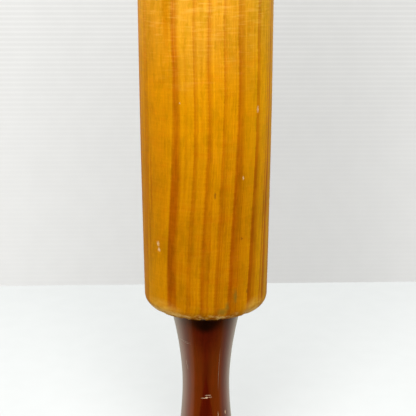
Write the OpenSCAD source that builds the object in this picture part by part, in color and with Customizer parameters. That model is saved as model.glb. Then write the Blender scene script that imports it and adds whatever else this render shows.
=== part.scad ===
// Rolling pin: a wooden barrel that spins on a steel axle, between two turned
// handles that turn on the same axle. It stands on the end of its lower handle:
// +Z runs along the axle, and the origin is the centre of that handle's end face.

/* [Barrel] */
// Diameter of the barrel at its middle
barrel_d = 60; // [50:1:75]
// Length of the barrel
barrel_len = 250; // [230:5:320]
// Fall in radius from the middle of the barrel to each end
barrel_crown = 0.95; // [0:0.05:1.5]
// Length at each end over which the barrel tapers
crown_len = 109; // [60:1:114]
// Radius of the rounded edge at each end of the barrel
barrel_edge_r = 6.3; // [2:0.1:9]

/* [Handles] */
// Length of each handle
handle_len = 108; // [104:1:130]
// Diameter of the shoulder, beside the barrel
shoulder_d = 33.6; // [30:0.2:40]
// Diameter of the waist
waist_d = 23; // [21:0.5:27]
// Distance from the shoulder to the waist
waist_at = 38.5; // [30:0.5:45]
// Diameter of the swell that fills the palm
swell_d = 29.4; // [27:0.2:34]
// Distance from the shoulder to the swell
swell_at = 87; // [70:1:92]
// Diameter of the flat face at the end
foot_d = 20; // [18:0.5:24]

/* [Axle] */
// Diameter of the axle between the handles' ends
axle_d = 8; // [7:0.5:8]
// Diameter of the axle's threaded ends
thread_d = 6; // [5:0.5:6]
// Pitch of the threads
thread_pitch = 1; // [0.8:0.1:1.2]
// Radial running clearance between the axle and its bushes
running_gap = 0.03; // [0.01:0.01:0.1]
// Axial play at each end face that turns on another
end_play = 0.1; // [0.05:0.05:0.3]

/* [Bushes] */
// Outer diameter of the barrel's bushes
barrel_bush_d = 16; // [13:0.5:17]
// Length of the barrel's bushes below their flanges
barrel_bush_len = 14; // [8:1:20]
// Outer diameter of the handles' bushes
handle_bush_d = 12; // [11:0.5:13]
// Length of the handles' bushes below their flanges
handle_bush_len = 10; // [6:1:14]
// Thickness of every bush's flange
flange_t = 1.4; // [1:0.1:2]
// Diameter of the flanges between the barrel and the handles
flange_d = 21; // [18:0.5:24]
// Height of those flanges above the wood around them
flange_proud = 0.4; // [0.2:0.1:0.8]

/* [Hardware] */
// Thickness of the thrust washers between the barrel and the handles
thrust_washer_t = 1; // [0.5:0.1:1.5]
// Diameter of the thrust washers
thrust_washer_d = 19; // [16:0.5:21]
// Diameter of the pocket in each handle's end
pocket_d = 14.4; // [14:0.1:15]
// Thickness of the washers under the nuts
end_washer_t = 1.2; // [0.8:0.1:1.6]
// Width of the lock nuts across their flats
nut_flats = 10; // [9:0.5:10]
// Height of the lock nuts
nut_h = 6; // [5:0.5:6.5]
// Thickness of the plugs that close the pockets
plug_t = 5; // [3:0.5:5.5]
// Depth of the plugs below the handles' end faces
plug_depth = 0.5; // [0.2:0.1:1]

/* [Hidden] */
$fn = 96;

// Clearance of a pressed or glued part in its seat
seat_gap = 0.02;
// How far a cutter runs past the face that it opens
over = 1;

// Places along the axle, from the lower handle's end face upwards
wood_gap = 2 * flange_proud + 2 * end_play + thrust_washer_t;
barrel_z = handle_len + wood_gap;
total_len = barrel_z + barrel_len + barrel_z;
thrust_washer_z = handle_len + flange_proud + end_play;

// Depths in each handle's pocket, from the plug down to the pocket's floor
nut_room = 1;
thread_past_nut = 0.7;
nut_z = plug_depth + plug_t + nut_room;
end_washer_z = nut_z + nut_h;
pocket_depth = end_washer_z + end_washer_t + end_play + flange_t;

// How fast the barrel's taper and the handle's neck curve away
crown_power = 1.6;
neck_power = 1.79;
// Rounding of the handle's shoulder edge
shoulder_edge_r = 1;

// Bevel at the leading edges of bushes and plugs
chamfer = 0.6;

// The collar of a lock nut, and the nylon ring in a groove inside it
collar_d = nut_flats - 1;
collar_h = 2;
ring_h = 1.6;
ring_d = 7.6;
ring_seat_z = 0.3;

// Holes for the axle in the wood, and in the bushes and washers
barrel_bore_d = axle_d + 2;
handle_bore_d = axle_d + 1;
bush_bore_r = axle_d / 2 + running_gap;
thrust_washer_hole_d = axle_d + 0.4;
end_washer_hole_d = thread_d + 0.2;
end_washer_d = pocket_d - 1;

// Depth of a metric thread for its pitch
thread_depth = 0.61 * thread_pitch;

wood = [0.87, 0.58, 0.2];
lacquer = [0.36, 0.13, 0.06];
steel = [0.68, 0.69, 0.7];
zinc = [0.76, 0.77, 0.75];
nylon = [0.93, 0.92, 0.87];
blue_nylon = [0.2, 0.35, 0.62];

// Everything at the upper end mirrors the lower end about the barrel's middle.
module upper_end() {
    translate([0, 0, total_len]) mirror([0, 0, 1]) children();
}

// Points of an arc of radius r about [x, y], from angle a to angle b.
function arc(x, y, r, a, b, steps) =
    [for (i = [0:steps]) let (t = a + (b - a) * i / steps) [x + r * cos(t), y + r * sin(t)]];

// Radius of the barrel at a distance from its nearer end.
function barrel_r(s) =
    barrel_d / 2 - barrel_crown * pow(max(0, 1 - s / crown_len), crown_power);

// Outline of one half of the barrel, from its end face to its middle.
function half_barrel() =
    let (
        tube_r = barrel_r(barrel_edge_r) - barrel_edge_r,
        steps = 14,
        taper = [for (i = [1:steps]) barrel_edge_r + (crown_len - barrel_edge_r) * i / steps]
    )
    concat(
        [[0, 0]],
        arc(tube_r, barrel_edge_r, barrel_edge_r, -90, 0, steps),
        [for (s = taper) [barrel_r(s), s]]
    );

module barrel() {
    lower = half_barrel();
    count = len(lower);
    upper = [for (i = [1:count]) [lower[count - i][0], barrel_len - lower[count - i][1]]];
    color(wood) translate([0, 0, barrel_z]) difference() {
        rotate_extrude() polygon(concat(lower, upper));
        translate([0, 0, -over]) cylinder(d = barrel_bore_d, h = barrel_len + 2 * over);
        bush_seat(barrel_bush_d, barrel_bush_len, flange_d, flange_t - flange_proud);
        translate([0, 0, barrel_len]) mirror([0, 0, 1])
            bush_seat(barrel_bush_d, barrel_bush_len, flange_d, flange_t - flange_proud);
    }
}

// Cutter for a flanged bush that is pressed in upwards from z = 0.
module bush_seat(d, length, rim_d, rim_depth) {
    translate([0, 0, -over]) cylinder(d = rim_d + 2 * seat_gap, h = over + rim_depth + seat_gap);
    cylinder(d = d + 2 * seat_gap, h = rim_depth + length + 2 * seat_gap);
}

// A flanged bush. Its flange starts at z = 0 and its sleeve runs upwards.
module bush(d, length, rim_d) {
    color(nylon) difference() {
        union() {
            cylinder(d = rim_d, h = flange_t);
            cylinder(d = d, h = flange_t + length - chamfer);
            translate([0, 0, flange_t + length - chamfer])
                cylinder(d1 = d, d2 = d - 2 * chamfer, h = chamfer);
        }
        translate([0, 0, -over]) cylinder(r = bush_bore_r, h = flange_t + length + 2 * over);
    }
}

// Radius of the neck, which flares from the waist, t = 0, to the shoulder, t = 1.
function neck_r(t) = waist_d / 2 + (shoulder_d - waist_d) / 2 * pow(t, neck_power);

// Radius of the grip, which grows from the waist, t = 0, to the swell, t = 1.
function grip_r(t) = waist_d / 2 + (swell_d - waist_d) / 2 * (1 - cos(180 * t)) / 2;

// Outline of the handle, from its end face at y = 0 to its shoulder face.
function handle_outline() =
    let (
        steps = 16,
        swell_y = handle_len - swell_at,
        waist_y = handle_len - waist_at,
        rim_y = handle_len - shoulder_edge_r,
        rim_t = (rim_y - waist_y) / waist_at,
        rim_r = neck_r(rim_t),
        round_r = (swell_d - foot_d) / 2
    )
    concat(
        [[0, 0]],
        // The butt is a quarter of an ellipse, from the flat end face to the swell.
        [for (a = [90:-6:0]) [foot_d / 2 + round_r * cos(a), swell_y * (1 - sin(a))]],
        [for (i = [1:steps]) let (t = 1 - i / steps) [grip_r(t), swell_y * t + waist_y * (1 - t)]],
        [for (i = [1:steps - 1]) let (t = rim_t * i / steps) [neck_r(t), waist_y + waist_at * t]],
        arc(rim_r - shoulder_edge_r, rim_y, shoulder_edge_r, 0, 90, 6),
        [[0, handle_len]]
    );

module handle() {
    color(lacquer) difference() {
        rotate_extrude() polygon(handle_outline());
        translate([0, 0, -over]) cylinder(d = handle_bore_d, h = handle_len + 2 * over);
        translate([0, 0, -over]) cylinder(d = pocket_d, h = over + pocket_depth);
        translate([0, 0, pocket_depth - flange_t])
            bush_seat(handle_bush_d, handle_bush_len, pocket_d, flange_t);
        translate([0, 0, handle_len]) mirror([0, 0, 1])
            bush_seat(handle_bush_d, handle_bush_len, flange_d, flange_t - flange_proud);
    }
}

module barrel_bush() {
    translate([0, 0, barrel_z - flange_proud]) bush(barrel_bush_d, barrel_bush_len, flange_d);
}

module inner_bush() {
    translate([0, 0, handle_len + flange_proud]) mirror([0, 0, 1])
        bush(handle_bush_d, handle_bush_len, flange_d);
}

module outer_bush() {
    translate([0, 0, pocket_depth - flange_t])
        bush(handle_bush_d, handle_bush_len, pocket_d - 2 * seat_gap);
}

module washer(d, hole_d, t) {
    color(zinc) difference() {
        cylinder(d = d, h = t);
        translate([0, 0, -over]) cylinder(d = hole_d, h = t + 2 * over);
    }
}

module thrust_washer() {
    translate([0, 0, thrust_washer_z])
        washer(thrust_washer_d, thrust_washer_hole_d, thrust_washer_t);
}

// The washer is clamped between the nut and the shoulder of the axle.
module end_washer() {
    translate([0, 0, end_washer_z]) washer(end_washer_d, end_washer_hole_d, end_washer_t);
}

// Ridges of one threaded end, from its tip at y = 0 to the axle's shoulder.
function thread_outline(length) =
    let (
        crest = thread_d / 2,
        root = crest - thread_depth,
        turns = floor(length / thread_pitch) - 1,
        flat = thread_pitch / 8
    )
    concat(
        [[0, 0], [root, 0]],
        [for (i = [1:turns], p = [
            [root, (i - 0.5) * thread_pitch + flat],
            [crest, i * thread_pitch - flat / 2],
            [crest, i * thread_pitch + flat / 2],
            [root, (i + 0.5) * thread_pitch - flat]
        ]) p],
        [[root, length], [0, length]]
    );

module axle_rod() {
    thread_z = nut_z - thread_past_nut;
    thread_len = end_washer_z + end_washer_t - thread_z;
    rod_z = thread_z + thread_len;
    color(steel) union() {
        translate([0, 0, rod_z]) cylinder(d = axle_d, h = total_len - 2 * rod_z);
        translate([0, 0, thread_z]) rotate_extrude() polygon(thread_outline(thread_len));
        upper_end() translate([0, 0, thread_z]) rotate_extrude() polygon(thread_outline(thread_len));
    }
}

// A hexagon with a round collar. The collar, with the ring in it, faces the tip.
module lock_nut() {
    hex_h = nut_h - collar_h;
    corner_d = nut_flats / cos(30);
    color(zinc) translate([0, 0, nut_z]) difference() {
        union() {
            cylinder(d = collar_d, h = collar_h + over);
            translate([0, 0, collar_h]) intersection() {
                cylinder(d = corner_d, h = hex_h, $fn = 6);
                nut_bevel(corner_d, hex_h);
            }
        }
        translate([0, 0, -over]) cylinder(r = thread_d / 2 + seat_gap, h = nut_h + 2 * over);
        translate([0, 0, ring_seat_z])
            cylinder(d = ring_d + 2 * seat_gap, h = ring_h + 2 * seat_gap);
    }
}

// Cone and cylinder that bevel a hexagon's corners at both of its faces.
module nut_bevel(corner_d, h) {
    bevel_h = 0.5;
    wide_d = corner_d + 0.1;
    face_d = wide_d - 4 * bevel_h;
    union() {
        cylinder(d1 = face_d, d2 = wide_d, h = bevel_h);
        translate([0, 0, bevel_h]) cylinder(d = wide_d, h = h - 2 * bevel_h);
        translate([0, 0, h - bevel_h]) cylinder(d1 = wide_d, d2 = face_d, h = bevel_h);
    }
}

// The ring bites on the thread's crests.
module lock_ring() {
    bite = 0.12;
    color(blue_nylon) translate([0, 0, nut_z + ring_seat_z + seat_gap]) difference() {
        cylinder(d = ring_d, h = ring_h);
        translate([0, 0, -over]) cylinder(r = thread_d / 2 - bite, h = ring_h + 2 * over);
    }
}

// A turned plug with a bevelled leading edge and a shallow dished face.
module end_plug() {
    plug_d = pocket_d - 2 * seat_gap;
    dish_r = 60;
    dish_depth = 0.3;
    color(lacquer) translate([0, 0, plug_depth]) difference() {
        union() {
            cylinder(d = plug_d, h = plug_t - chamfer);
            translate([0, 0, plug_t - chamfer])
                cylinder(d1 = plug_d, d2 = plug_d - 2 * chamfer, h = chamfer);
        }
        translate([0, 0, dish_depth - dish_r]) sphere(r = dish_r, $fn = 256);
    }
}

barrel();
barrel_bush();  // lower_barrel_bush
upper_end() barrel_bush();  // upper_barrel_bush
axle_rod();
thrust_washer();  // lower_thrust_washer
upper_end() thrust_washer();  // upper_thrust_washer
end_washer();  // lower_end_washer
upper_end() end_washer();  // upper_end_washer
lock_nut();  // lower_lock_nut
upper_end() lock_nut();  // upper_lock_nut
lock_ring();  // lower_lock_ring
upper_end() lock_ring();  // upper_lock_ring
handle();  // lower_handle
inner_bush();  // lower_inner_bush
outer_bush();  // lower_outer_bush
end_plug();  // lower_end_plug
upper_end() handle();  // upper_handle
upper_end() inner_bush();  // upper_inner_bush
upper_end() outer_bush();  // upper_outer_bush
upper_end() end_plug();  // upper_end_plug
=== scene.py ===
"""Looks of a wooden rolling pin that stands on the end of one of its handles.

Lengths are in millimetres, and MM turns them into metres. Only the places and sizes
of the stage and its lights are in metres. Angles round the axle are in degrees from
the front, -Y, towards +X.
"""

import math

import bpy
import numpy as np
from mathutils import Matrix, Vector

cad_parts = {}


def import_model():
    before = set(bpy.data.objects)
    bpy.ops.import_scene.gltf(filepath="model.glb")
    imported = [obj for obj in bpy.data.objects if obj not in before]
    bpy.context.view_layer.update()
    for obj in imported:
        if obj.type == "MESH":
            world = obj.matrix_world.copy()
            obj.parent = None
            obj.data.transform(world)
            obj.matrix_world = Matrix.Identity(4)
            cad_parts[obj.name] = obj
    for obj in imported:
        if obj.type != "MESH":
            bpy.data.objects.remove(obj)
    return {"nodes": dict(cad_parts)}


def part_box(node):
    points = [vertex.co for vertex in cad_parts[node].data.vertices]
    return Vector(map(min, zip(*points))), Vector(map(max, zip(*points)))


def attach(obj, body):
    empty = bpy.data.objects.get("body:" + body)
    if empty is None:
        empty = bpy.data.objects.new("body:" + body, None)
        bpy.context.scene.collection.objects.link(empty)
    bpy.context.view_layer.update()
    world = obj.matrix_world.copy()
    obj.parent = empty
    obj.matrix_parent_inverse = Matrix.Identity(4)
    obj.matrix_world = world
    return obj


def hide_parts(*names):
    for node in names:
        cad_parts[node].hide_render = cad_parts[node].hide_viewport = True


MM = 0.001

# ---------------------------------------------------------------- shapes

# The turned shapes, as the CAD model has them
BARREL_R = 30
BARREL_HALF = 125
BARREL_MIDDLE_Z = 235
BARREL_CROWN = 0.95
CROWN_LEN = 109
CROWN_POWER = 1.6
BARREL_EDGE_R = 6.3
SHOULDER_R = 16.8
SHOULDER_EDGE_R = 1
WAIST_R = 11.5
WAIST_AT = 38.5
SWELL_R = 14.7
SWELL_AT = 87
FOOT_R = 10
NECK_POWER = 1.79
FLANGE_PROUD = 0.4
FLANGE_T = 1.4
SEAT_GAP = 0.02
BARREL_BUSH_R = 8
BARREL_BORE_R = 5
HANDLE_BUSH_R = 6
HANDLE_BORE_R = 4.5
# From the barrel's middle to a handle's shoulder
SHOULDER_AT = 127

# How finely the turned pieces are cut
BARREL_SEGMENTS = 360
HANDLE_SEGMENTS = 240
BARREL_STEP = 1.2
HANDLE_STEP = 0.4
EDGE_STEPS = 16
SHOULDER_EDGE_STEPS = 6
# Edges that turn more than this, in degrees, stay sharp
SHARP_FROM = 40

# Only the outsides are uneven, past these radii
BARREL_RELIEF_FROM_R = 12
HANDLE_RELIEF_FROM_R = 9.9

# Dents of the barrel: angle, height, half width, half height, depth
BARREL_DENTS = [
    (-46, 143.4, 1.2, 2.2, 0.15), (48.6, 205.2, 0.9, 1.8, 0.12), (16, 115, 4, 2.5, 0.25),
    (-62, 112.5, 9, 2.5, 0.2), (150, 240, 3, 5, 0.2), (-110, 350, 4, 3, 0.25),
    (75, 330, 2, 3, 0.15), (-150, 130, 2, 4, 0.2), (100, 180, 1.5, 2.5, 0.15),
]

# How far from the barrel's ends their nicks reach, and the nicks: -1 for the lower end
# or 1 for the upper one, angle, half width in degrees, depth
NICK_REACH = 5
RIM_NICKS = [
    (-1, -22, 3.5, 0.4), (-1, -13, 4, 0.2), (-1, -3, 3, 0.45), (-1, 7, 5, 0.2), (-1, 15, 2.5, 0.5),
    (-1, 44, 5, 0.35), (-1, -50, 7, 0.35), (-1, 120, 6, 0.25), (-1, 205, 4, 0.3), (1, 10, 5, 0.25),
    (1, 80, 4, 0.3), (1, 170, 7, 0.2), (1, 250, 5, 0.3),
]

# ---------------------------------------------------------------- marks and colours

# Growth rings of the barrel's timber, round a pith outside the barrel: each ring's
# sharp outer edge, as a depth from the side that faces the pith, how far its dark
# wood fades inwards, and how dark it is
PITH_AWAY = 110
PITH_ANGLE = 137.6
RINGS = [
    (2.6, 1.2, 0.8), (8, 2.4, 0.9), (14.4, 3, 0.75), (23, 2, 1.2), (25.2, 1, 0.9), (33.6, 3, 1.1),
    (43.5, 3.5, 1), (48.7, 2.1, 0.7), (53.1, 1.6, 0.85), (56.2, 0.8, 0.6), (59.18, 0.9, 1.25),
]
# How far the grain twists towards the barrel's lower end, and sways, in degrees
LOW_TWIST = 8.5
SWAY = 7

# Colours of the barrel's varnish, which is worn most and painted lightest at the first height below,
# of the marks on it, and of what shows through it
WORN_AND_LIT_Z = 262
# Painted light: the thick varnish is painted darker, the thin one paler on the front, and the worn
# one palest, as a painted highlight near the top.
THICK_AND_SHADED_VARNISH = (0.490, 0.190, 0.0006)
THIN_AND_LIT_VARNISH = (0.64, 0.265, 0.0012)
WORN_AND_LIT_VARNISH = (0.75, 0.37, 0.03)
SPECK = (0.16, 0.05, 0.005)
SMUDGE = (0.17, 0.12, 0.012)
# The next colour is a painted highlight on the turning lines.
RIDGE_HIGHLIGHT = (0.92, 0.56, 0.13)
RUBBED_CORNER = (0.60, 0.33, 0.045)
RUBBED_EDGE = (0.74, 0.46, 0.13)
BARE_PINE = (0.74, 0.54, 0.30)

# What the varnish's colour is multiplied by in places
BY_LATE_WOOD = (0.67, 0.43, 0.3)
BY_FINE_LINES = (0.89, 0.82, 0.65)
BY_PATCHES = (1.01, 0.94, 0.9)
BY_OLIVE = (0.88, 0.9, 0.55)
# The next two paint a golden sheen on the barrel's flanks.
BY_GOLD_SHEEN = (1.12, 1.28, 1.5)
BY_LOW_GOLD_SHEEN = (1.05, 1.12, 1.2)
BY_AMBER = (0.93, 0.91, 0.6)
BY_STAIN = (0.84, 0.73, 0.2)

# Marks of the barrel: angle, height, half width, half height
PALE_MARKS = [
    (-46.6, 145.0, 0.7, 1.0), (-45.6, 142.4, 0.7, 0.8), (-21.5, 208.5, 0.25, 0.3),
    (48.6, 205.2, 0.45, 1.3), (33, 176, 0.3, 0.7), (160, 300, 0.6, 1.6), (-120, 180, 0.5, 0.8),
]
DARK_SPECKS = [
    (32.5, 148.6, 0.5, 0.6), (39.5, 123.5, 0.5, 1.0), (7.6, 169, 0.4, 1.6), (-150, 260, 0.6, 1.2),
    (110, 150, 0.5, 0.7),
]
STAINS = [
    (-33.5, 254, 2.2, 22), (-54.5, 172, 0.7, 15), (-58.5, 150, 0.7, 15), (150, 200, 3, 20),
    (-130, 290, 2.5, 25),
]
SMUDGES = [
    (15, 115.5, 2.4, 1.6), (19, 117.5, 1.0, 2.2), (27, 122, 1.0, 3.2), (-43, 251, 0.5, 0.5),
    (-170, 345, 4, 2.5), (86, 128, 2.5, 3),
]
# How far from the barrel's ends its rounded edge is rubbed pale, and where most of all
RIM_WEAR_AT = 2
RUBBED_RIM = [(-46, 114, 13, 5), (14, 111.5, 3, 1.5), (52, 114.5, 9, 5), (140, 357, 12, 4)]

# Heights of the barrel's fine relief, and the depth of small marks on wood and lacquer
FIBRES_H = 0.008
TURNING_H = 0.015
LATE_WOOD_H = 0.012
MARK_DEPTH = 0.05

# The handles' lacquer, where it is thickest and thinnest, and what shows through it
LACQUER = (0.062, 0.002, 0.0003)
THIN_LACQUER = (0.082, 0.004, 0.0005)
SCRATCHED = (0.26, 0.17, 0.12)
BARE_WOOD = (0.54, 0.37, 0.22)

# The radius at which the handles are unrolled to place their marks
SPOT_R = 12
# Painted black shade on the necks under the barrel, and scratches: angle, height, half width, half
# height
NECK_SHADE_SPOTS = [(-1, 108, 6, 8.5), (150, 362, 5, 6)]
SCRATCHES = [
    (-52, 93.9, 3.4, 0.13), (-44, 93.2, 2.2, 0.1), (-66, 90.8, 1.8, 0.1), (-50, 82.5, 0.15, 1.2),
    (-46.5, 80.2, 0.15, 1.2), (31, 80, 0.1, 9),
]
# Chips of the lacquer: angle, height, half width, half height, depth
CHIPS = [
    (1.6, 65.7, 0.7, 0.45, 0.3), (-5, 65.4, 1.5, 0.12, 0.1), (5, 66.9, 1.5, 0.13, 0.1),
    (9, 65.9, 1.2, 0.1, 0.08), (51.5, 56.2, 0.3, 0.9, 0.2), (29.5, 56.2, 0.12, 1.6, 0.1),
    (-88, 91, 0.9, 0.5, 0.3), (171, 402, 1.3, 0.6, 0.3), (-60, 448, 0.9, 0.5, 0.2),
    (120, 25, 1.1, 0.7, 0.3), (200, 60, 0.5, 1.2, 0.2), (-30, 380, 0.3, 0.8, 0.15),
]

# The camera's distance in front of the axle and its height, its tilt down and turn to
# the right in degrees, and its lens
CAMERA_AWAY = 381.3
CAMERA_Z = 249.1
CAMERA_DOWN = 13.65
CAMERA_RIGHT = 0.155
CAMERA_LENS = 72.65
SENSOR_W = 36

# The floor, the board behind, the spacing of the board's flutes, and the light
FLOOR = (0.648, 0.674, 0.678)
WALL = (0.716, 0.729, 0.728)
FLUTE_PITCH = 4.25
SOFT_WHITE = (1, 0.99, 0.975)
WARM_LIGHT = (1, 0.42, 0.02)


# ---------------------------------------------------------------- node trees


class Graph:
    """Short calls for the shader nodes that the materials need."""

    def __init__(self, tree):
        self.tree = tree
        tree.nodes.clear()

    def node(self, kind, **settings):
        made = self.tree.nodes.new(kind)
        for name, value in settings.items():
            setattr(made, name, value)
        return made

    def link(self, source, target):
        self.tree.links.new(source, target)

    def put(self, socket, value):
        """Links a socket, or sets it to a number, colour or vector."""
        if isinstance(value, bpy.types.NodeSocket):
            self.link(value, socket)
        else:
            socket.default_value = value

    def math(self, operation, a, b=0.0):
        made = self.node("ShaderNodeMath", operation=operation)
        self.put(made.inputs[0], a)
        self.put(made.inputs[1], b)
        return made.outputs[0]

    def add(self, a, b):
        return self.math("ADD", a, b)

    def times(self, a, b):
        return self.math("MULTIPLY", a, b)

    def vector(self, operation, a, b=(0, 0, 0)):
        made = self.node("ShaderNodeVectorMath", operation=operation)
        self.put(made.inputs[0], a)
        self.put(made.inputs[1], b)
        return made.outputs["Value" if operation in ("LENGTH", "DOT_PRODUCT") else "Vector"]

    def scaled(self, vector, factors):
        return self.vector("MULTIPLY", vector, factors)

    def split(self, vector):
        made = self.node("ShaderNodeSeparateXYZ")
        self.link(vector, made.inputs[0])
        return made.outputs

    def joined(self, x, y, z):
        made = self.node("ShaderNodeCombineXYZ")
        for socket, value in zip(made.inputs, (x, y, z)):
            self.put(socket, value)
        return made.outputs[0]

    def remap(self, value, from_min, from_max, to_min=0.0, to_max=1.0):
        """A smooth step from to_min to to_max as value goes from from_min to from_max."""
        made = self.node("ShaderNodeMapRange", interpolation_type="SMOOTHSTEP")
        for socket, number in zip(made.inputs, (value, from_min, from_max, to_min, to_max)):
            self.put(socket, number)
        return made.outputs[0]

    def noise(self, vector, scale, detail=2.0, roughness=0.5):
        made = self.node("ShaderNodeTexNoise")
        self.put(made.inputs["Vector"], vector)
        made.inputs["Scale"].default_value = scale
        made.inputs["Detail"].default_value = detail
        made.inputs["Roughness"].default_value = roughness
        return made.outputs["Fac"]

    def stretched_noise(self, vector, scales, detail=2.0, roughness=0.5):
        """Noise with its own scale along each axis."""
        return self.noise(self.scaled(vector, scales), 1, detail, roughness)

    def mix(self, factor, a, b):
        """Mixes two numbers."""
        made = self.node("ShaderNodeMix", data_type="FLOAT")
        self.put(made.inputs[0], factor)
        self.put(made.inputs[2], a)
        self.put(made.inputs[3], b)
        return made.outputs[0]

    def mix_colour(self, factor, a, b, blend="MIX"):
        made = self.node("ShaderNodeMix", data_type="RGBA", blend_type=blend)
        self.put(made.inputs[0], factor)
        for socket, colour in ((made.inputs[6], a), (made.inputs[7], b)):
            self.put(socket, colour if isinstance(colour, bpy.types.NodeSocket) else (*colour, 1))
        return made.outputs[2]

    def multiplied(self, factor, colour, by):
        """The colour where factor is 0, and the colour times another one where it is 1."""
        return self.mix_colour(factor, colour, by, "MULTIPLY")

    def tint(self, colour, level):
        """A colour times a grey level."""
        grey = self.node("ShaderNodeCombineColor")
        for socket in grey.inputs[:3]:
            self.put(socket, level)
        return self.multiplied(1, colour, grey.outputs[0])

    def ramp(self, value, stops):
        """Straight lines through (place, level) stops."""
        made = self.node("ShaderNodeValToRGB")
        elements = made.color_ramp.elements
        while len(elements) < len(stops):
            elements.new(0.5)
        for element, (place, level) in zip(elements, stops):
            element.position = place
            element.color = (level, level, level, 1)
        self.put(made.inputs[0], value)
        return made.outputs["Color"]

    def spots(self, place, radius, spots):
        """Distance from the nearest (angle, height, half width, half height, ...) spot.

        It is 1 on each spot's outline. place is the unrolled surface, at that radius.
        """
        nearest = 9.0
        for angle, z, half_width, half_height, *_ in spots:
            centre = (math.radians(angle) * radius, z, 0)
            away = self.vector("SUBTRACT", place, centre)
            away = self.scaled(away, (1 / half_width, 1 / half_height, 0))
            nearest = self.math("MINIMUM", nearest, self.vector("LENGTH", away))
        return nearest


class Surface(Graph):
    """A material with one Principled shader, in millimetres of the piece's own space.

    from_middle is how far up or down a point lies from the middle of the pin.
    """

    def __init__(self, name, **constants):
        self.material = bpy.data.materials.new(name)
        self.material.use_nodes = True
        super().__init__(self.material.node_tree)
        out = self.node("ShaderNodeOutputMaterial")
        self.shader = self.node("ShaderNodeBsdfPrincipled")
        self.link(self.shader.outputs[0], out.inputs["Surface"])
        for label, value in constants.items():
            self.shader.inputs[label.replace("_", " ")].default_value = value
        raw = self.node("ShaderNodeTexCoord").outputs["Object"]
        self.place = self.scaled(raw, (1 / MM, 1 / MM, 1 / MM))
        self.x, self.y, self.z = self.split(self.place)
        self.from_middle = self.math("ABSOLUTE", self.add(self.z, -BARREL_MIDDLE_Z))

    def unrolled(self, radius, unevenness, scale):
        """(distance round the axle from the front, height), shaken a little by noise."""
        turn = self.math("ARCTAN2", self.x, self.times(self.y, -1))
        shaken = self.scaled(self.wobble(scale), (unevenness, unevenness, 0))
        return self.vector("ADD", self.joined(self.times(turn, radius), self.z, 0), shaken)

    def colour(self, value):
        self.put(self.shader.inputs["Base Color"], value)

    def roughness(self, value):
        self.put(self.shader.inputs["Roughness"], value)

    def wobble(self, scale):
        """Offsets of up to half a unit each way, from coloured noise."""
        made = self.node("ShaderNodeTexNoise")
        self.put(made.inputs["Vector"], self.place)
        made.inputs["Scale"].default_value = scale
        return self.vector("SUBTRACT", made.outputs["Color"], (0.5, 0.5, 0.5))

    def relief(self, height, coat=False):
        """Bumps whose height is in millimetres."""
        bump = self.node("ShaderNodeBump")
        bump.inputs["Strength"].default_value = 1
        bump.inputs["Distance"].default_value = MM
        self.put(bump.inputs["Height"], height)
        self.link(bump.outputs[0], self.shader.inputs["Normal"])
        if coat:
            self.link(bump.outputs[0], self.shader.inputs["Coat Normal"])


# ---------------------------------------------------------------- stage


def make_camera():
    """The camera stands in front of the pin and looks a little down, along +Y."""
    data = bpy.data.cameras.new("camera")
    data.lens = CAMERA_LENS
    data.sensor_width = SENSOR_W
    data.clip_start = 0.01
    camera = bpy.data.objects.new("camera", data)
    camera.location = (0, -CAMERA_AWAY * MM, CAMERA_Z * MM)
    camera.rotation_euler = (math.radians(90 - CAMERA_DOWN), 0, math.radians(-CAMERA_RIGHT))
    bpy.context.scene.collection.objects.link(camera)
    bpy.context.scene.camera = camera


def make_world():
    """A pale studio all round, and dark low in front, where the photographer stands.

    Matt surfaces get most of their light from above, as under a softbox. Glossy ones
    mirror a pale studio and, below the horizon, its ground.
    """
    world = bpy.data.worlds.new("studio")
    world.use_nodes = True
    bpy.context.scene.world = world
    g = Graph(world.node_tree)
    out = g.node("ShaderNodeOutputWorld")
    background = g.node("ShaderNodeBackground")
    g.link(background.outputs[0], out.inputs["Surface"])

    # frontness goes from -0.5, behind, to 0.5, in front, and sideness from 0 to 1.
    x, y, z = g.split(g.node("ShaderNodeTexCoord").outputs["Generated"])
    across = g.math("MAXIMUM", g.math("SQRT", g.add(g.times(x, x), g.times(y, y))), 0.001)
    frontness = g.math("DIVIDE", g.times(y, -0.5), across)
    sideness = g.math("DIVIDE", g.math("ABSOLUTE", x), across)

    # The ground from behind, 0, to the front, 1. It is pale behind and at the sides.
    ground_levels = [
        (0, 0.5), (0.06, 0.65), (0.28, 1.3), (0.5, 1.1), (0.7, 0.55), (0.74, 0.4), (0.79, 0), (1, 0),
    ]
    forwards = g.add(frontness, g.remap(x, 0, 0.3, 0.5, 0.6))
    ground = g.times(g.ramp(forwards, ground_levels), g.remap(x, -0.3, 0.3, 1, 0.7))
    matt_ground = g.mix(g.remap(z, -0.4, -0.75), g.times(ground, 0.45), 0.8)
    matt_sky = g.remap(z, -0.1, 0.5, 0.5, 1.05)
    matt = g.tint(SOFT_WHITE, g.mix(g.remap(z, 0.1, -0.2), matt_sky, matt_ground))

    # A warm floor runs up to the photographer, who is a dark shape that widens upwards.
    beside = g.math("SUBTRACT", sideness, g.times(g.add(z, 0.53), 2.3))
    warm = g.times(g.remap(beside, -0.03, 0.06), g.remap(sideness, 0, 0.55, 0.3, 1.0))
    warm = g.times(warm, g.times(g.remap(frontness, 0.02, 0.2, 0, 0.9), g.remap(z, -0.72, -0.58)))
    ground = g.times(ground, g.remap(z, -0.45, -0.75, 1, 0.33))
    lit = g.tint((1, 0.98, 0.82), ground)
    lit = g.mix_colour(1, lit, g.mix_colour(warm, (0, 0, 0), WARM_LIGHT), "ADD")
    mirrored = g.mix_colour(g.remap(z, -0.04, -0.13), SOFT_WHITE, lit)
    is_glossy = g.node("ShaderNodeLightPath").outputs["Is Glossy Ray"]
    g.link(g.mix_colour(is_glossy, matt, mirrored), background.inputs["Color"])


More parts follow.
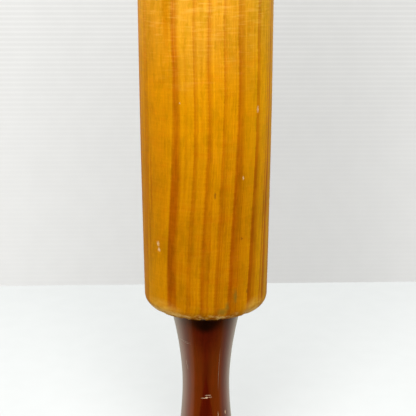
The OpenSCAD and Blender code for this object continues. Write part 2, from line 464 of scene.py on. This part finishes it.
def area_light(name, place, target, size, watts, colour=(1, 1, 1)):
    data = bpy.data.lights.new(name, "AREA")
    data.shape = "RECTANGLE"
    data.size, data.size_y = size
    data.energy = watts
    data.color = colour
    light = bpy.data.objects.new(name, data)
    light.location = place
    aim = Vector(target) - Vector(place)
    light.rotation_euler = aim.to_track_quat("-Z", "Y").to_euler()
    light.visible_camera = False
    bpy.context.scene.collection.objects.link(light)


def make_lights():
    """A softbox high in front, and a window on each side that lights the board behind."""
    area_light("key", (-0.04, -0.73, 0.85), (0, 0, 0.33), (0.7, 0.45), 10.5, (1, 0.98, 0.95))
    area_light("left_window", (-1.2, 0.0, 0.45), (-0.3, 0.33, 0.2), (0.8, 0.9), 1.7)
    area_light("right_window", (1.2, 0.0, 0.45), (0.3, 0.33, 0.2), (0.8, 0.9), 0.5)


def flutes(g):
    """Fine level lines across the board, and the soft gradation of its light."""
    across, _, height = g.split(g.node("ShaderNodeTexCoord").outputs["Object"])
    beside_dimmest = g.math("ABSOLUTE", g.add(across, -0.08))
    gradation = g.times(g.remap(beside_dimmest, 0, 0.2, 0.89, 1), g.remap(height, 0.3, 0.0, 1, 1.13))
    wave = g.math("SINE", g.times(height, 2 * math.pi / (FLUTE_PITCH * MM)))
    contrast = g.remap(height, 0.08, 0.28, 0.008, 0.05)
    ripple = g.add(1, g.times(contrast, g.remap(wave, -0.4, 1, -0.4, 1)))
    return g.times(gradation, ripple)


def clear_from_behind(g, shader):
    """The shader where the sheet faces the viewer, and nothing from its other side."""
    clear = g.node("ShaderNodeBsdfTransparent")
    blend = g.node("ShaderNodeMixShader")
    g.link(g.node("ShaderNodeNewGeometry").outputs["Backfacing"], blend.inputs[0])
    g.link(shader, blend.inputs[1])
    g.link(clear.outputs[0], blend.inputs[2])
    return blend.outputs[0]


def backdrop(name, corners, colour, fluted):
    """A plain sheet, or fluted plastic board. It shows to the camera and takes shadows.

    Reflections and bounces come from the studio instead.
    """
    mesh = bpy.data.meshes.new(name)
    mesh.from_pydata(corners, [], [(0, 1, 2, 3)])
    sheet = bpy.data.objects.new(name, mesh)
    bpy.context.scene.collection.objects.link(sheet)
    material = bpy.data.materials.new(name)
    material.use_nodes = True
    g = Graph(material.node_tree)
    out = g.node("ShaderNodeOutputMaterial")
    matt = g.node("ShaderNodeBsdfDiffuse")
    place = g.node("ShaderNodeTexCoord").outputs["Object"]
    level = g.remap(g.noise(place, 60, 3), 0.3, 0.7, 0.985, 1.0)
    shader = matt.outputs[0]
    if fluted:
        level = g.times(level, flutes(g))
        shader = clear_from_behind(g, shader)
    g.link(g.tint(colour, level), matt.inputs["Color"])
    g.link(shader, out.inputs["Surface"])
    mesh.materials.append(material)
    for kind in ("glossy", "diffuse", "transmission", "shadow"):
        setattr(sheet, "visible_" + kind, False)


def make_stage():
    """A floor, and a board behind the pin that stands a little askew."""
    far, wall_h = 6.0, 4.0
    wall_y, wall_skew = 0.350, 0.18
    left, right = wall_y - wall_skew, wall_y + wall_skew
    floor = [(-far, -far, 0), (far, -far, 0), (far, far, 0), (-far, far, 0)]
    wall = [(-far, left, 0), (far, right, 0), (far, right, wall_h), (-far, left, wall_h)]
    backdrop("floor", floor, FLOOR, False)
    backdrop("wall", wall, WALL, True)


# ---------------------------------------------------------------- materials


def round_axle(angle, radius):
    """The point at that angle round the axle, at height 0."""
    turn = math.radians(angle)
    return (radius * math.sin(turn), -radius * math.cos(turn), 0)


class Pine(Surface):
    """Amber varnished pine with wide growth rings, fibres and fine turning lines."""

    def __init__(self):
        super().__init__("pine", Specular_IOR_Level=0.012, Specular_Tint=(1, 0.6, 0.1, 1))
        self.grain = self.twisted_place()
        self.side = self.unrolled(BARREL_R, 1.6, 1.1)
        self.fibres = self.stretched_noise(self.grain, (1.3, 1.3, 0.1), 4, 0.7)
        self.turning = self.stretched_noise(self.place, (0.12, 0.12, 1.2), 2, 0.6)
        self.mottle = self.stretched_noise(self.place, (0.08, 0.08, 0.045), 4, 0.6)
        self.patches = self.stretched_noise(self.place, (0.12, 0.12, 0.3), 3)
        self.depth = self.ring_depth()
        across_rings = self.joined(self.times(self.depth, 2.2), 0, self.times(self.z, 0.006))
        self.lines = self.noise(across_rings, 1, 3, 0.6)
        self.thin, self.worn_and_lit = self.wear_and_light()

    def twisted_place(self):
        """The place in the timber, whose grain is twisted about the axle and sways."""
        low = self.remap(self.z, 215, 100, 0, math.radians(LOW_TWIST))
        high = self.remap(self.noise(self.joined(0, 0, self.z), 0.011, 1), 0.3, 0.7, -0.07, 0.07)
        sway = self.add(self.stretched_noise(self.place, (0.02, 0.02, 0.014)), -0.5)
        twist = self.add(low, self.times(high, self.remap(self.z, 250, 310)))
        twist = self.add(twist, self.times(sway, math.radians(SWAY)))
        turned = self.node("ShaderNodeVectorRotate", rotation_type="Z_AXIS")
        self.link(self.place, turned.inputs["Vector"])
        self.link(twist, turned.inputs["Angle"])
        return turned.outputs[0]

    def ring_depth(self):
        """Depth in the timber from the side that faces the pith, frayed a little.

        It is scaled up where the barrel is slimmer, so that no ring closes along it.
        """
        slimmer = self.math("DIVIDE", self.add(self.from_middle, CROWN_LEN - BARREL_HALF), CROWN_LEN)
        slimmer = self.math("POWER", self.math("MAXIMUM", slimmer, 0), CROWN_POWER)
        radius = self.math("SUBTRACT", BARREL_R, self.times(slimmer, BARREL_CROWN))
        fullness = self.math("DIVIDE", BARREL_R, radius)
        flat = self.scaled(self.grain, self.joined(fullness, fullness, 0))
        pith = round_axle(PITH_ANGLE, PITH_AWAY)
        from_pith = self.vector("LENGTH", self.vector("SUBTRACT", flat, pith))
        uneven = self.add(self.stretched_noise(self.grain, (0.05, 0.05, 0.012)), -0.5)
        frayed = self.times(self.add(self.add(self.turning, self.patches), -1), 0.22)
        amount = self.remap(from_pith, PITH_AWAY + 29.5, PITH_AWAY + 22, 0.15, 2.2)
        uneven = self.times(self.add(uneven, frayed), amount)
        return self.add(from_pith, self.add(uneven, BARREL_R - PITH_AWAY))

    def late_wood(self):
        """The rings' dark wood, from 0 to about 1. It is sharp outwards and fades inwards."""
        spread = self.remap(self.z, 225, 125, 1, 2.2)
        late = 0.0
        for edge, fade, strength in RINGS:
            start = self.math("SUBTRACT", edge, self.times(spread, fade))
            inside = self.remap(self.depth, edge + 0.24 * fade, edge - 0.1 * fade)
            faded = self.remap(self.depth, start, edge - 0.05 * fade, 0, strength)
            late = self.math("MAXIMUM", late, self.times(inside, faded))
        late = self.times(late, self.remap(self.lines, 0.3, 0.7, 0.75, 1.1))
        blotches = self.stretched_noise(self.grain, (0.2, 0.2, 0.05), 3, 0.6)
        late = self.times(late, self.remap(blotches, 0.35, 0.65, 0.85, 1.15))

        # The outermost ring is faint on one side, and all are fainter higher up.
        beyond = self.vector("DOT_PRODUCT", self.place, round_axle(PITH_ANGLE + 90, 1))
        faint = self.times(self.remap(beyond, 3, 6, 0, 0.6), self.remap(self.depth, 57.5, 58.8))
        late = self.times(late, self.math("SUBTRACT", 1, faint))
        late = self.times(late, self.remap(self.z, 170, 202, 1, 0.76))
        return self.times(late, self.remap(self.z, 222, 252, 1, 0.8))

    def wear_and_light(self):
        """Where the varnish is thin along the middle and painted paler as painted light, and where
        it is worn pale and carries a painted highlight.

        Both are on the side that is turned to the front here, and paint it lighter where the light
        falls from the front, most of all near the top.
        """
        aside = self.times(self.add(self.y, BARREL_R), 0.9)
        aside = self.add(aside, self.times(self.mottle, 30))
        # Painted light: paler on the front and along the middle.
        thin = self.remap(self.add(self.from_middle, aside), 110, 25)
        # Painted highlight: palest on the front near the top.
        from_worn_and_lit = self.math("ABSOLUTE", self.add(self.z, -WORN_AND_LIT_Z))
        return thin, self.remap(self.add(from_worn_and_lit, aside), 75, 5)

    def varnish(self):
        """The colour of varnished wood, with fine lines, patches and tints, painted paler on the
        front and near the top, with a painted sheen on the flanks.
        """
        wood = self.mix_colour(self.thin, THICK_AND_SHADED_VARNISH, THIN_AND_LIT_VARNISH)
        wood = self.mix_colour(self.worn_and_lit, wood, WORN_AND_LIT_VARNISH)
        wood = self.multiplied(self.remap(self.lines, 0.35, 0.65), wood, BY_FINE_LINES)
        wood = self.multiplied(self.remap(self.patches, 0.5, 0.7), wood, BY_PATCHES)
        olive = self.stretched_noise(self.grain, (0.3, 0.3, 0.1), 4, 0.7)
        wood = self.multiplied(self.remap(olive, 0.47, 0.62), wood, BY_OLIVE)

        # Painted sheen: it is golden towards the right and, low down, on both sides, where the
        # flanks mirror the pale studio. High on the right it is amber.
        left = self.times(self.remap(self.x, -14, -28, 0, 0.6), self.remap(self.z, 190, 130))
        wood = self.multiplied(self.add(self.remap(self.x, 14, 28), left), wood, BY_GOLD_SHEEN)
        low_right_sheen = self.times(self.remap(self.x, 18, 28), self.remap(self.z, 185, 135))
        wood = self.multiplied(low_right_sheen, wood, BY_LOW_GOLD_SHEEN)
        high_right = self.times(self.remap(self.x, 6, 18), self.remap(self.z, 205, 240))
        return self.multiplied(high_right, wood, BY_AMBER)

    def textured(self, wood):
        """The wood with its fibres, pores and turning lines, which carry a painted highlight,
        strongest where the varnish is worn and painted lighter.
        """
        pores = self.stretched_noise(self.grain, (3.5, 3.5, 0.5), 2, 0.6)
        level = self.remap(self.fibres, 0.25, 0.75, 0.93, 1.06)
        level = self.times(level, self.remap(self.mottle, 0.3, 0.7, 0.9, 1.08))
        level = self.times(level, self.remap(pores, 0.3, 0.7, 0.96, 1.03))
        level = self.times(level, self.remap(self.turning, 0.3, 0.7, 0.965, 1.03))
        # Painted highlight on the turning lines, strongest where the varnish is painted lightest.
        ridge_highlights = self.times(self.remap(self.turning, 0.48, 0.68), self.mix(self.worn_and_lit, 0.01, 0.27))
        ridge_highlights = self.times(ridge_highlights, self.remap(self.patches, 0.35, 0.6, 0.45, 1))
        return self.mix_colour(ridge_highlights, self.tint(wood, level), RIDGE_HIGHLIGHT)

    def on_marks(self, marks, outside, inside, strength=1.0):
        """Goes from 0, outside the marks, to that strength inside them."""
        return self.remap(self.spots(self.side, BARREL_R, marks), outside, inside, 0, strength)

    def marked(self, wood):
        """The wood with its stains, smudges and dark specks."""
        wood = self.multiplied(self.on_marks(STAINS, 1.4, 0.5), wood, BY_STAIN)
        wood = self.mix_colour(self.on_marks(SMUDGES, 1.5, 0.2, 0.6), wood, SMUDGE)
        return self.mix_colour(self.on_marks(DARK_SPECKS, 1.6, 0.3, 0.65), wood, SPECK)

    def rubbed(self, wood):
        """The wood with the barrel's rounded edges rubbed pale, most of all in a few places."""
        patchy = self.stretched_noise(self.place, (0.22, 0.22, 0.5), 3, 0.7)
        corner = self.on_marks(RUBBED_RIM, 1.2, 0.3)
        rubbed = self.times(corner, self.remap(patchy, 0.35, 0.65, 0.25, 0.8))
        wood = self.mix_colour(rubbed, wood, RUBBED_CORNER)
        from_edge = self.math("ABSOLUTE", self.add(self.from_middle, RIM_WEAR_AT - BARREL_HALF))
        rim = self.remap(self.add(self.times(corner, 0.22), patchy), 0.48, 0.7, 0, 0.8)
        return self.mix_colour(self.times(self.remap(from_edge, 3, 0.5), rim), wood, RUBBED_EDGE)


def pine():
    """The barrel's wood. Bare pine shows in a few small marks."""
    s = Pine()
    late = s.late_wood()
    wood = s.multiplied(late, s.varnish(), BY_LATE_WOOD)
    wood = s.rubbed(s.marked(s.textured(wood)))
    pale = s.on_marks(PALE_MARKS, 1.6, 0, 0.7)
    s.colour(s.mix_colour(pale, wood, BARE_PINE))
    s.roughness(s.add(s.remap(s.turning, 0.3, 0.7, 0.36, 0.46), s.times(pale, 0.2)))
    height = s.add(s.times(s.fibres, FIBRES_H), s.times(s.turning, TURNING_H))
    height = s.add(height, s.times(late, LATE_WOOD_H))
    s.relief(s.add(height, s.times(pale, -MARK_DEPTH)))
    return s.material


def lacquer():
    """Glossy red-brown lacquer on turned wood, with chips down to the pale wood, and painted shade
    on the necks under the barrel.
    """
    s = Surface("brown_lacquer", Roughness=0.35, Specular_IOR_Level=0.5, Coat_Weight=1.0,
                Specular_Tint=(1, 0.33, 0.02, 1), Coat_Roughness=0.045, Coat_IOR=1.45)
    streaks = s.stretched_noise(s.place, (0.9, 0.9, 0.03), 3, 0.6)
    mottle = s.noise(s.place, 0.09, 2)
    body = s.mix_colour(s.remap(streaks, 0.3, 0.7), LACQUER, THIN_LACQUER)
    side = s.unrolled(SPOT_R, 0.5, 1.6)

    # Painted shade: the necks are darkened towards the barrel, under its overhang, and painted black
    # in places where its shadow falls.
    neck_shade = s.remap(s.from_middle, SHOULDER_AT, SHOULDER_AT + 9, 0.3, 1)
    neck_shade = s.times(neck_shade, s.remap(s.spots(side, SPOT_R, NECK_SHADE_SPOTS), 1.1, 0.6, 1, 0.02))
    body = s.tint(body, s.times(neck_shade, s.remap(mottle, 0.3, 0.7, 0.88, 1.1)))
    scratched = s.remap(s.spots(side, SPOT_R, SCRATCHES), 1.5, 0.6)
    body = s.mix_colour(s.times(scratched, 0.6), body, SCRATCHED)
    bare = s.remap(s.spots(side, SPOT_R, CHIPS), 1.3, 0.7)
    s.colour(s.mix_colour(bare, body, BARE_WOOD))
    s.roughness(s.mix(bare, 0.35, 0.6))
    height = s.add(s.times(s.noise(s.place, 0.35, 2), 0.02), s.times(streaks, 0.006))
    marks = s.math("MAXIMUM", scratched, bare)
    s.relief(s.add(height, s.times(marks, -MARK_DEPTH)), coat=True)
    return s.material


def steel(name, colour, fineness):
    """Bright metal with fine lines, as fine along each axis as given, and a little staining."""
    s = Surface(name, Metallic=1.0)
    lines = s.stretched_noise(s.place, fineness, 3, 0.6)
    cloud = s.noise(s.place, 0.25, 3)
    s.colour(s.tint(colour, s.remap(s.times(lines, cloud), 0.1, 0.4, 0.82, 1.0)))
    s.roughness(s.remap(cloud, 0.3, 0.7, 0.24, 0.38))
    s.relief(s.times(lines, 0.006))
    return s.material


def nylon(name, colour):
    """Moulded nylon, a little see-through at its surface, with faint scuffs."""
    s = Surface(name, Roughness=0.45, Subsurface_Weight=0.1, Subsurface_Scale=MM)
    cloud = s.noise(s.place, 0.3, 3)
    s.colour(s.tint(colour, s.remap(cloud, 0.3, 0.7, 0.9, 1.0)))
    s.roughness(s.remap(s.noise(s.place, 2.5, 2), 0.3, 0.7, 0.38, 0.52))
    s.relief(s.times(s.noise(s.place, 3, 3), 0.006))
    return s.material


# ---------------------------------------------------------------- turned pieces


def arc(centre_r, centre_z, radius, start, end, steps):
    """Points of an arc in the outline's plane, as (radius, height)."""
    turns = [math.radians(start + (end - start) * i / steps) for i in range(steps + 1)]
    return [(centre_r + radius * math.cos(t), centre_z + radius * math.sin(t)) for t in turns]


def run(z_from, z_to, step, radius_at):
    """Evenly spaced points from z_from to z_to, with the radius that radius_at gives."""
    count = max(1, round(abs(z_to - z_from) / step))
    heights = [z_from + (z_to - z_from) * i / count for i in range(count + 1)]
    return [(radius_at(z), z) for z in heights]


def lathe(name, outline, segments, relief):
    """A closed surface of revolution round Z from a closed outline of (radius, height).

    relief gives each point's (change of radius, change of height).
    """
    loop = [p for i, p in enumerate(outline) if math.dist(p, outline[i - 1]) > 1e-6]
    rows = len(loop)
    r, z = (np.repeat(np.array(column)[:, None], segments, 1) for column in zip(*loop))
    turn = np.tile(np.arange(segments) * 2 * math.pi / segments, (rows, 1))
    dr, dz = relief(r, np.degrees(turn), z)
    r, z = r + dr, z + dz
    points = np.stack([r * np.sin(turn), -r * np.cos(turn), z], -1).reshape(-1, 3) * MM
    row, seg = np.meshgrid(np.arange(rows), np.arange(segments), indexing="ij")
    here, next_row, next_seg = row * segments, (row + 1) % rows * segments, (seg + 1) % segments
    quads = np.stack([here + seg, here + next_seg, next_row + next_seg, next_row + seg], -1)
    mesh = bpy.data.meshes.new(name)
    mesh.from_pydata(points.tolist(), [], quads.reshape(-1, 4).tolist())
    mesh.shade_smooth()
    mesh.set_sharp_from_angle(angle=math.radians(SHARP_FROM))
    piece = bpy.data.objects.new(name, mesh)
    bpy.context.scene.collection.objects.link(piece)
    return piece


def stand_in(piece, node, material):
    """Puts a piece in the place of a CAD node."""
    piece.data.materials.append(material)
    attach(piece, node)
    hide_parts(node)


def node_mm(node):
    """(lowest corner, highest corner) of a CAD node, in millimetres."""
    low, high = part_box(node)
    return low / MM, high / MM


def seat(bush, bush_r, bore_r, face_z):
    """The outline of a flanged bush's seat, from the face downwards to the bore."""
    low, high = node_mm(bush)
    flange_r = high.y + SEAT_GAP
    sleeve_r = bush_r + SEAT_GAP
    flange_z = face_z - (FLANGE_T - FLANGE_PROUD + SEAT_GAP)
    stop_z = face_z - (high.z - low.z - FLANGE_PROUD + SEAT_GAP)
    return [(flange_r, face_z), (flange_r, flange_z), (sleeve_r, flange_z), (sleeve_r, stop_z),
            (bore_r, stop_z)]


def dents(degrees, z, radius, marks):
    """How deep the (angle, height, half width, half height, depth) dents go at each point."""
    deepest = np.zeros_like(z)
    for angle, at_z, half_width, half_height, depth in marks:
        turned = (degrees - angle + 180) % 360 - 180
        across = np.radians(turned) * radius / half_width
        along = (z - at_z) / half_height
        deepest = np.maximum(deepest, depth * np.clip(1 - across ** 2 - along ** 2, 0, 1))
    return deepest


def barrel_relief(r, degrees, z):
    """A turned barrel is never quite true, and use has dented it and nicked its ends."""
    outside = r > BARREL_RELIEF_FROM_R
    from_middle = np.abs(z - BARREL_MIDDLE_Z)
    turn = np.radians(degrees)
    uneven = 0.02 * np.sin(3 * turn + z / 30) + 0.015 * np.sin(7 * turn - z / 11)
    grooves = 0.012 * np.sin(z * 2.9 + 2 * np.sin(z / 7)) * (1 + np.sin(turn * 2 + z / 13)) / 2
    inwards = 0.04 + uneven + grooves + dents(degrees, z, BARREL_R, BARREL_DENTS)
    nicked = np.zeros_like(z)
    for end, angle, half_angle, depth in RIM_NICKS:
        turned = np.abs((degrees - angle + 180) % 360 - 180)
        steps = np.clip(3 * (1 - turned / half_angle), 0, 1)
        near = np.clip((from_middle - (BARREL_HALF - NICK_REACH)) / NICK_REACH, 0, 1)
        nicked = np.maximum(nicked, depth * steps * near * (end * (z - BARREL_MIDDLE_Z) > 0))
    return -inwards * outside, -nicked * np.sign(z - BARREL_MIDDLE_Z) * outside


def barrel_radius(s, length, middle_r):
    """The barrel's radius at a distance s from its lower end."""
    nearer = min(s, length - s)
    return middle_r - BARREL_CROWN * max(0, 1 - nearer / CROWN_LEN) ** CROWN_POWER


def barrel_outer(length, middle_r):
    """The barrel's outside, from its lower face to its upper one."""
    edge = BARREL_EDGE_R
    face_r = barrel_radius(edge, length, middle_r) - edge
    outer = arc(face_r, edge, edge, -90, 0, EDGE_STEPS)
    outer += run(edge, length - edge, BARREL_STEP, lambda s: barrel_radius(s, length, middle_r))
    return outer + arc(face_r, length - edge, edge, 0, 90, EDGE_STEPS)


def make_barrel(material):
    """The barrel, with the same seat for a flanged bush in both ends of its bore."""
    low, high = node_mm("barrel")
    length = high.z - low.z
    upper = seat("lower_barrel_bush", BARREL_BUSH_R, BARREL_BORE_R, length)
    lower = [(r, length - s) for r, s in reversed(upper)]
    outline = [(r, low.z + s) for r, s in barrel_outer(length, high.y) + upper + lower]
    piece = lathe("pine_barrel", outline, BARREL_SEGMENTS, barrel_relief)
    stand_in(piece, "barrel", material)


def handle_relief(r, degrees, z):
    """Chips in the lacquer, and the small ripples of turning."""
    outside = r > HANDLE_RELIEF_FROM_R
    ripples = 0.008 + 0.008 * np.sin(z / 2.3 + np.sin(np.radians(degrees)))
    return -(ripples + dents(degrees, z, SPOT_R, CHIPS)) * outside, np.zeros_like(z)


def handle_radius(from_shoulder):
    """The handle's radius between its shoulder face and the middle of its swell."""
    if from_shoulder < WAIST_AT:
        return WAIST_R + (SHOULDER_R - WAIST_R) * (1 - from_shoulder / WAIST_AT) ** NECK_POWER
    t = (from_shoulder - WAIST_AT) / (SWELL_AT - WAIST_AT)
    return WAIST_R + (SWELL_R - WAIST_R) * (1 - math.cos(math.pi * t)) / 2


def handle_outer(length):
    """The handle's outside, from the flat face at its end to its shoulder face."""
    swell_z = length - SWELL_AT
    rim_z = length - SHOULDER_EDGE_R

    def side(z):
        return handle_radius(length - z)

    butt = [(FOOT_R + (SWELL_R - FOOT_R) * math.sin(t), swell_z * (1 - math.cos(t)))
            for t in np.linspace(0, math.pi / 2, 2 * EDGE_STEPS)]
    rim_r = side(rim_z) - SHOULDER_EDGE_R
    rim = arc(rim_r, rim_z, SHOULDER_EDGE_R, 0, 90, SHOULDER_EDGE_STEPS)
    return butt + run(swell_z, rim_z, HANDLE_STEP, side) + rim


def handle_inside(side, end_z, length):
    """The handle's bush seats, bore and end pocket, from its shoulder face to its end."""
    inner_seat = seat(side + "_inner_bush", HANDLE_BUSH_R, HANDLE_BORE_R, length)
    outer_low, outer_high = node_mm(side + "_outer_bush")
    bush_from, bush_to = sorted(abs(z - end_z) for z in (outer_low.z, outer_high.z))
    sleeve_r = HANDLE_BUSH_R + SEAT_GAP
    pocket_r = node_mm(side + "_end_plug")[1].y + SEAT_GAP
    stop_z = bush_to + SEAT_GAP
    floor_z = bush_from + FLANGE_T + SEAT_GAP
    return inner_seat + [(HANDLE_BORE_R, stop_z), (sleeve_r, stop_z), (sleeve_r, floor_z),
                         (pocket_r, floor_z), (pocket_r, 0)]


def make_handle(side, material):
    """One handle. Its outline is drawn upwards from its end, and turned over for the upper one."""
    low, high = node_mm(side + "_handle")
    length = high.z - low.z
    end_z = low.z if side == "lower" else high.z
    outline = handle_outer(length) + handle_inside(side, end_z, length)
    if side == "upper":
        outline = [(r, high.z - z) for r, z in reversed(outline)]
    piece = lathe(side + "_lacquered_handle", outline, HANDLE_SEGMENTS, handle_relief)
    stand_in(piece, side + "_handle", material)


# ---------------------------------------------------------------- all together


def both(*kinds):
    """The names of the lower and upper CAD nodes of those kinds."""
    return [side + "_" + kind for side in ("lower", "upper") for kind in kinds]


def dress(nodes, names, material):
    """Gives CAD nodes their material."""
    for name in names:
        mesh = nodes[name].data
        mesh.materials.clear()
        mesh.materials.append(material)


def main():
    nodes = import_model()["nodes"]
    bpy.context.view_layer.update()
    make_camera()
    make_world()
    make_lights()
    make_stage()
    bpy.context.scene.view_settings.view_transform = "Standard"

    pine_wood = pine()
    brown = lacquer()
    white = nylon("white_nylon", (0.80, 0.77, 0.68))
    blue = nylon("blue_nylon", (0.06, 0.16, 0.42))
    bright = steel("axle_steel", (0.60, 0.60, 0.60), (0.4, 0.4, 9))
    zinc = steel("zinc_steel", (0.68, 0.69, 0.66), (3, 3, 3))

    make_barrel(pine_wood)
    make_handle("lower", brown)
    make_handle("upper", brown)
    dress(nodes, ["axle_rod"], bright)
    dress(nodes, both("barrel_bush", "inner_bush", "outer_bush"), white)
    dress(nodes, both("thrust_washer", "end_washer", "lock_nut"), zinc)
    dress(nodes, both("lock_ring"), blue)
    dress(nodes, both("end_plug"), brown)


main()
